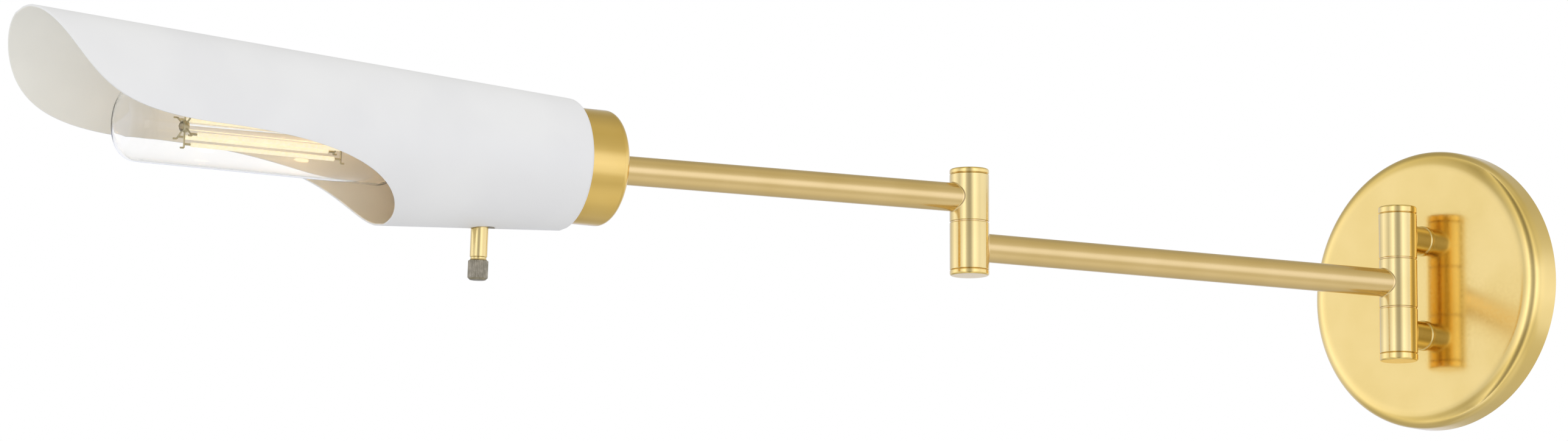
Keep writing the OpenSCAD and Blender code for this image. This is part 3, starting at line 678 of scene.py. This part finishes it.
def cut_knob_slot(shade):
    """Cuts the oblong slot that the knob's stem comes out of."""
    half = KNOB_SLOT_W / 2
    outline = []
    for end, centre in ((1, KNOB_SLOT_FRONT - half), (-1, half - KNOB_SLOT_BACK)):
        for k in range(KNOB_SLOT_STEPS + 1):
            turn = math.pi * k / KNOB_SLOT_STEPS - math.pi / 2
            outline.append((-end * half * math.sin(turn), centre + end * half * math.cos(turn)))
    near, far = 22.0, 38.0            # either side of the shade's wall, along the knob's axis
    count = len(outline)
    verts = [(x, y, z) for z in (near, far) for x, y in outline]
    faces = [list(range(count))[::-1], list(range(count, 2 * count))]
    faces += [[i, (i + 1) % count, count + (i + 1) % count, count + i] for i in range(count)]
    cutter = mesh_piece("slot_cutter", verts, faces, at_knob)
    outward(cutter)
    cut = shade.modifiers.new("slot", "BOOLEAN")
    cut.operation = "DIFFERENCE"
    cut.solver = "EXACT"
    cut.object = cutter
    shade.modifiers.move(len(shade.modifiers) - 1, 0)
    bpy.context.view_layer.objects.active = shade
    bpy.ops.object.modifier_apply(modifier=cut.name)
    bpy.data.objects.remove(cutter)


def tone_inside(shade):
    """Gives the shade's inner faces a warmer, slightly brighter white than the outside."""
    shade.data.materials.append(inner_warm_white)
    inverse = in_head.inverted()
    for face in shade.data.polygons:
        centre = inverse @ face.center / MM
        normal = inverse.to_3x3() @ face.normal
        outwardness = centre.x * normal.x + centre.y * normal.y
        on_wall = outwardness < -0.3 * math.hypot(centre.x, centre.y)
        on_floor = normal.z > 0.9 and centre.z < SHADE_FLOOR + 0.5
        if on_wall or on_floor:
            face.material_index = 1


HOLDER_T = 0.7
HOLDER_LIP = 0.8                      # how far the rolled lip stands out from the shell
HOLDER_BEAD_S = 31.0                  # where the bead lies, from the head's origin
HOLDER_BEAD_H = 0.5
HOLDER_BEAD_HALF = 1.4


def make_lampholder():
    """Drawn brass shell with a rolled bead and a rolled lip."""
    lip_r, back, front = measure("socket_shell", in_head)
    radius = lip_r - HOLDER_LIP
    inside = radius - HOLDER_T
    corners = [
        (inside, back, 0.2), (radius, back, 0.2), (radius, HOLDER_BEAD_S - HOLDER_BEAD_HALF, 0.5),
        (radius + HOLDER_BEAD_H, HOLDER_BEAD_S, 0.6), (radius, HOLDER_BEAD_S + HOLDER_BEAD_HALF, 0.5),
        (radius, front - 2.4, 0.4), (lip_r, front - 1, 0.6), (radius, front, 0.3), (inside, front, 0.2),
        (inside, front - 3, 0.2)]
    finish_piece(lathe("holder_shell", corners, in_head, 96), "head", satin_brass,
                 "socket_shell")


GLASS_T = 0.9
NECK_R = 12.2
NECK_LEN = 4.0                        # the neck's straight stretch
GLASS_SHOULDER = 15.0                 # from the neck's foot to the full radius
DOME_R = 15.5                         # rounding of the tip


def make_envelope():
    """Blown glass envelope: neck, sloping shoulder, tube and domed tip."""
    radius, neck, tip = measure("bulb_glass", in_head)
    inside = radius - GLASS_T
    inside_neck = NECK_R - GLASS_T
    corners = [
        (NECK_R, neck, 0.3), (NECK_R + 0.1, neck + NECK_LEN, 4), (radius, neck + GLASS_SHOULDER, 9),
        (radius, tip, DOME_R), (0, tip, 0),
        (0, tip - GLASS_T, 0), (inside, tip - GLASS_T, DOME_R - GLASS_T),
        (inside, neck + GLASS_SHOULDER + 0.4, 9), (inside_neck, neck + NECK_LEN, 4),
        (inside_neck, neck, 0.2)]
    envelope = lathe("bulb_envelope", corners, in_head, 96)
    finish_piece(envelope, "head", clear_glass, "bulb_glass")


THREAD_PITCH = 3.6
THREAD_DEPTH = 0.4                    # either way from the thread's mean radius
THREAD_STEPS = 60
BASE_FOOT_R = 7.0
BASE_CHEST_R = 11.3                   # where the sloping foot meets the thread
BASE_MOUTH_R = 12.25                  # inside of the mouth that holds the glass


def make_screw_base():
    """Screw base with a rounded thread that fades out at both ends."""
    radius, back_z, front_z = measure("bulb_base", in_head)
    mean = radius - THREAD_DEPTH
    start, end = back_z + 2.5, front_z - 3

    def section(angle):
        points = [(BASE_FOOT_R, back_z), (BASE_CHEST_R, back_z + 1)]
        for k in range(THREAD_STEPS + 1):
            z = start + (end - start) * k / THREAD_STEPS
            fade = max(0.0, min(1.0, (z - start) / THREAD_PITCH, (end - z) / THREAD_PITCH))
            wave = math.cos(2 * math.pi * z / THREAD_PITCH - angle)
            points.append((mean + THREAD_DEPTH * fade * wave, z))
        return points + [(mean + 0.3, end + 0.8), (mean, front_z - 0.2), (BASE_MOUTH_R, front_z),
                         (BASE_MOUTH_R, front_z - 2), (11.7, start + 1), (BASE_FOOT_R, back_z + 1)]

    base = turned("bulb_screw_base", section, in_head, full_turn(72), ring=True)
    finish_piece(base, "head", nickel_plate, "bulb_base")


STEM_FLARE_R = 9.5
STEM_ROD_R = 1.6
# stretch between the flare and the rod, as (radius, distance from the flare, rounding)
STEM_TAPER = ((5.5, 6, 3), (4, 16, 4), (3.2, 26.7, 2), (STEM_ROD_R, 30.2, 2))


def make_stem():
    """Glass stem: flare at the neck, tapering to a thin rod with a small button at its end."""
    _, foot, tip = measure("bulb_stem", in_head)
    taper = [(r, foot + s, rounding) for r, s, rounding in STEM_TAPER]
    corners = [(0, foot, 0), (STEM_FLARE_R, foot, 0.8), *taper, (STEM_ROD_R, tip - 2.5, 1),
               (STEM_ROD_R + 1, tip - 1.5, 0.8), (0, tip, 0)]
    stem = lathe("bulb_glass_stem", corners, in_head, 32, ring=False)
    finish_piece(stem, "head", clear_glass, "bulb_stem")


FILAMENTS = 6
FILAMENT_RING = 7.5                   # radius of the ring that they stand on
FILAMENT_R = 0.95
SPOKE_R = 0.4
END_R = 0.5
END_LEN = 3.0
SPOKE_IN = 0.25                       # where a spoke starts and ends, as shares of the ring's radius
SPOKE_OUT = 1.22
HOOK_LEN = 1.8


def make_filaments():
    """Straight filaments with metal ends between two stars of hooked wires, on hubs round the stem."""
    _, foot, crown = measure("filaments", in_head)
    rods, wires = [], []
    for i in range(FILAMENTS):
        turn = 2 * math.pi * (i + 0.5) / FILAMENTS
        x, y = FILAMENT_RING * math.cos(turn), FILAMENT_RING * math.sin(turn)
        rods.append(tube_between(f"rod_{i}", (x, y, foot), (x, y, crown), FILAMENT_R, 16))
        for s, outwards in ((foot, -1), (crown, 1)):
            star = s + outwards * END_LEN
            inner = (x * SPOKE_IN, y * SPOKE_IN, star)
            outer = (x * SPOKE_OUT, y * SPOKE_OUT, star)
            hook = (x * SPOKE_OUT, y * SPOKE_OUT, star + outwards * HOOK_LEN)
            wires.append(tube_between("end", (x, y, s), (x, y, star), END_R))
            wires.append(tube_between("spoke", inner, outer, SPOKE_R))
            wires.append(tube_between("hook", outer, hook, SPOKE_R))
    for star in (foot - END_LEN, crown + END_LEN):
        low, high = star - 1.3, star + 1.3
        corners = [(STEM_ROD_R, low, 0.3), (2.5, low, 0.4), (2.5, high, 0.4), (STEM_ROD_R, high, 0.3)]
        wires.append(lathe("hub", corners, in_head, 24))
    finish_piece(joined("bulb_filaments", rods), "head", filament_glow, "filaments")
    finish_piece(joined("bulb_supports", wires), "head", support_wire, "filament_supports")


# ---- switch knob ----

SPINDLE_R = 2.0                       # blind hole in the stem, for the switch's spindle
SPINDLE_HOLE = 8.0
GROOVE_DEPTH = 0.35
RIDGES = 32
RIDGE_DEPTH = 0.32
GRIP_CHAMFER = 0.5


def make_knob_stem():
    """Turned stem with a groove next to the grip."""
    radius, top, foot = measure("knob_stem", at_knob)
    groove_r = radius - GROOVE_DEPTH
    corners = [
        (SPINDLE_R, top, 0.2), (radius, top, 0.3), (radius, foot - 1.4, 0.15), (groove_r, foot - 1.1, 0.15),
        (groove_r, foot - 0.5, 0.15), (radius, foot, 0.15), (0, foot, 0), (0, top + SPINDLE_HOLE, 0),
        (SPINDLE_R, top + SPINDLE_HOLE, 0.2)]
    stem = lathe("knob_stem_turned", corners, at_knob, 64)
    finish_piece(stem, "switch_knob", barrel_brass, "knob_stem")


def make_knob_grip():
    """Straight-knurled end with chamfered edges."""
    radius, start, end = measure("knob_grip", at_knob)
    chamfer_r = radius - GRIP_CHAMFER

    def section(angle):
        wave = 0.5 + 0.5 * math.cos(RIDGES * angle)
        ridge = radius - RIDGE_DEPTH * (1 - wave ** 0.6)
        return [(0, start), (radius - 0.8, start), (chamfer_r, start + 0.15), (ridge, start + GRIP_CHAMFER),
                (ridge, (start + end) / 2), (ridge, end - 1.0), (chamfer_r, end - 0.55),
                (radius - 0.9, end - 0.12), (radius - 1.3, end), (0, end)]

    grip = turned("knob_grip_knurled", section, at_knob, full_turn(RIDGES * 6), ring=False)
    finish_piece(grip, "switch_knob", pewter, "knob_grip")


make_wall_plate()
make_posts()
make_hinges()
make_inner_arm()
make_outer_arm()
make_cup()
make_shade()
make_lampholder()
make_envelope()
make_screw_base()
make_stem()
make_filaments()
make_knob_stem()
make_knob_grip()


# ---- stage, light and camera ----

VIEW_AZIMUTH = math.radians(40.15)
VIEW_ELEVATION = math.radians(-8.64)
VIEW_DISTANCE = 4.375
VIEW_WIDTH = 0.716                    # width of the frame at the wall plate
VIEW_SIDE = -0.301                    # where the frame's centre lies from the plate's, sideways
VIEW_LIFT = 0.0328                    # and upwards
SENSOR = 36.0
FLOOR_Z = -1.25

back = Vector((math.sin(VIEW_AZIMUTH) * math.cos(VIEW_ELEVATION),
               -math.cos(VIEW_AZIMUTH) * math.cos(VIEW_ELEVATION), math.sin(VIEW_ELEVATION)))
right = Vector((math.cos(VIEW_AZIMUTH), math.sin(VIEW_AZIMUTH), 0))


def make_camera():
    """Long lens that looks from the right and from slightly below."""
    up = back.cross(right)
    camera = add_object("camera", bpy.data.cameras.new("camera"))
    camera.matrix_world = Matrix((right, up, back)).transposed().to_4x4()
    camera.location = VIEW_SIDE * right + VIEW_LIFT * up + VIEW_DISTANCE * back
    camera.data.sensor_width = SENSOR
    camera.data.lens = SENSOR * VIEW_DISTANCE / VIEW_WIDTH
    camera.data.clip_end = 50
    bpy.context.scene.camera = camera


def make_floor():
    """Plain pale floor, well below the lamp."""
    mesh = bpy.data.meshes.new("floor")
    half = 4.0
    corners = [(x, y, FLOOR_Z) for x, y in ((-half, -half), (half, -half), (half, half), (-half, half))]
    mesh.from_pydata(corners, [], [(0, 1, 2, 3)])
    floor = add_object("floor", mesh)
    mesh.materials.append(surface("floor_paint", (0.78, 0.78, 0.78), (0.82, 0.82, 0.82),
                                  (0.6, 0.8), 60.0, 0.05, cloud=2.0))
    floor.visible_glossy = False


# brightness that shiny surfaces reflect: by degrees round from the camera, times by degrees up
ROUND = (
    (-180, 0.65), (-130, 0.7), (-112, 0.92), (-97, 1.18), (-80, 0.96), (-60, 0.68), (-44, 1.02),
    (-30, 1.38), (-16, 0.62), (-4, 0.45), (6, 0.46), (18, 0.93), (28, 1.34), (42, 1.14), (60, 0.92),
    (77, 1.0), (97, 0.97), (125, 0.86), (180, 0.7))
HEIGHT = (
    (-90, 1.12), (-69, 0.78), (-48, 0.83), (-34, 0.74), (-22, 0.80), (-14, 1.02), (0, 1.14), (13, 1.07),
    (24, 0.78), (34, 0.70), (52, 0.60), (75, 0.66), (90, 0.90))
BRIGHTEST = 1.6                       # the ramps hold levels as shares of this
WARM_TINT = (1.0, 0.97, 0.76)
COOL_TINT = (1.0, 1.05, 1.26)


def level_ramp(nodes, links, angle, levels, tinted):
    """Level that follows an angle in radians through (degrees, level) pairs.

    A tinted one is warm where it is dim and cool where it is bright."""
    low, high = levels[0][0], levels[-1][0]
    turn = nodes.new("ShaderNodeMapRange")
    turn.inputs["From Min"].default_value = math.radians(low)
    turn.inputs["From Max"].default_value = math.radians(high)
    links.new(angle, turn.inputs["Value"])
    ramp = nodes.new("ShaderNodeValToRGB")
    stops = ramp.color_ramp.elements
    for k, (degrees, level) in enumerate(levels):
        position = (degrees - low) / (high - low)
        stop = stops[k] if k < 2 else stops.new(position)
        stop.position = position
        cool = max(0.0, min(1.0, 2 * level - 1.2))    # 0 up to a level of 0.6, and 1 from 1.1
        tint = [w + (c - w) * cool for w, c in zip(WARM_TINT, COOL_TINT)] if tinted else (1, 1, 1)
        stop.color = (*(level * t / BRIGHTEST for t in tint), 1)
    links.new(turn.outputs["Result"], ramp.inputs["Fac"])
    return ramp.outputs["Color"]


def maths(nodes, links, operation, *values):
    """Result of one maths node."""
    node = nodes.new("ShaderNodeMath")
    node.operation = operation
    for socket, value in zip(node.inputs, values):
        links.new(value, socket)
    return node.outputs["Value"]


def make_world():
    """White backdrop that lights paint evenly, and a banded studio that only mirror reflections show."""
    world = bpy.data.worlds.new("studio")
    bpy.context.scene.world = world
    world.use_nodes = True
    nodes, links = world.node_tree.nodes, world.node_tree.links
    direction = nodes.new("ShaderNodeTexCoord").outputs["Generated"]

    def along(vector):
        dot = nodes.new("ShaderNodeVectorMath")
        dot.operation = "DOT_PRODUCT"
        dot.inputs[1].default_value = vector
        links.new(direction, dot.inputs[0])
        return dot.outputs["Value"]

    flat_back = Vector((back.x, back.y, 0)).normalized()
    around = maths(nodes, links, "ARCTAN2", along(right), along(flat_back))
    above = maths(nodes, links, "ARCSINE", along((0, 0, 1)))
    product = nodes.new("ShaderNodeMixRGB")
    product.blend_type = "MULTIPLY"
    product.inputs["Fac"].default_value = 1.0
    links.new(level_ramp(nodes, links, around, ROUND, False), product.inputs["Color1"])
    links.new(level_ramp(nodes, links, above, HEIGHT, True), product.inputs["Color2"])
    studio = nodes["Background"]
    studio.inputs["Strength"].default_value = BRIGHTEST ** 2
    links.new(product.outputs["Color"], studio.inputs["Color"])
    backdrop = nodes.new("ShaderNodeBackground")
    backdrop.inputs["Color"].default_value = (1, 1, 1, 1)
    backdrop.inputs["Strength"].default_value = 1.0
    paths = nodes.new("ShaderNodeLightPath")
    mix = nodes.new("ShaderNodeMixShader")
    mirrored = maths(nodes, links, "MULTIPLY",
                     paths.outputs["Is Glossy Ray"], paths.outputs["Is Reflection Ray"])
    links.new(mirrored, mix.inputs["Fac"])
    links.new(backdrop.outputs["Background"], mix.inputs[1])
    links.new(studio.outputs["Background"], mix.inputs[2])
    links.new(mix.outputs["Shader"], nodes["World Output"].inputs["Surface"])


def soft_light(name, place, aim, width, height, watts):
    """Rectangular soft box at a place, turned towards a point; the brass doesn't mirror it."""
    box = bpy.data.lights.new(name, "AREA")
    box.shape = "RECTANGLE"
    box.size, box.size_y = width, height
    box.energy = watts
    soft = add_object(name, box)
    soft.matrix_world = place_at(place, Vector(place) - Vector(aim))
    soft.visible_glossy = False


def make_lights():
    """Overhead soft box, a fill from the camera's side, and the bulb's warm glow inside the shade."""
    lamp = in_head @ Vector((0, 0, 130 * MM))
    soft_light("soft_box", (-0.6, -0.9, 1.5), lamp, width=1.6, height=1.0, watts=0.7)
    soft_light("fill_box", lamp + 3.0 * back - 0.4 * Vector(UP), lamp, width=1.5, height=1.5, watts=11.0)
    for name, s, power in (("glow_front", 150, 0.010), ("glow_rear", 105, 0.028)):
        bulb = bpy.data.lights.new(name, "POINT")
        bulb.color = (1.0, 0.70, 0.38)
        bulb.energy = power
        bulb.shadow_soft_size = 0.004
        glow = add_object(name, bulb)
        glow.location = in_head @ Vector((0, 20 * MM, s * MM))
        glow.parent = frame["bodies"]["head"]


make_camera()
make_floor()
make_world()
make_lights()
bpy.context.scene.view_settings.view_transform = "Standard"
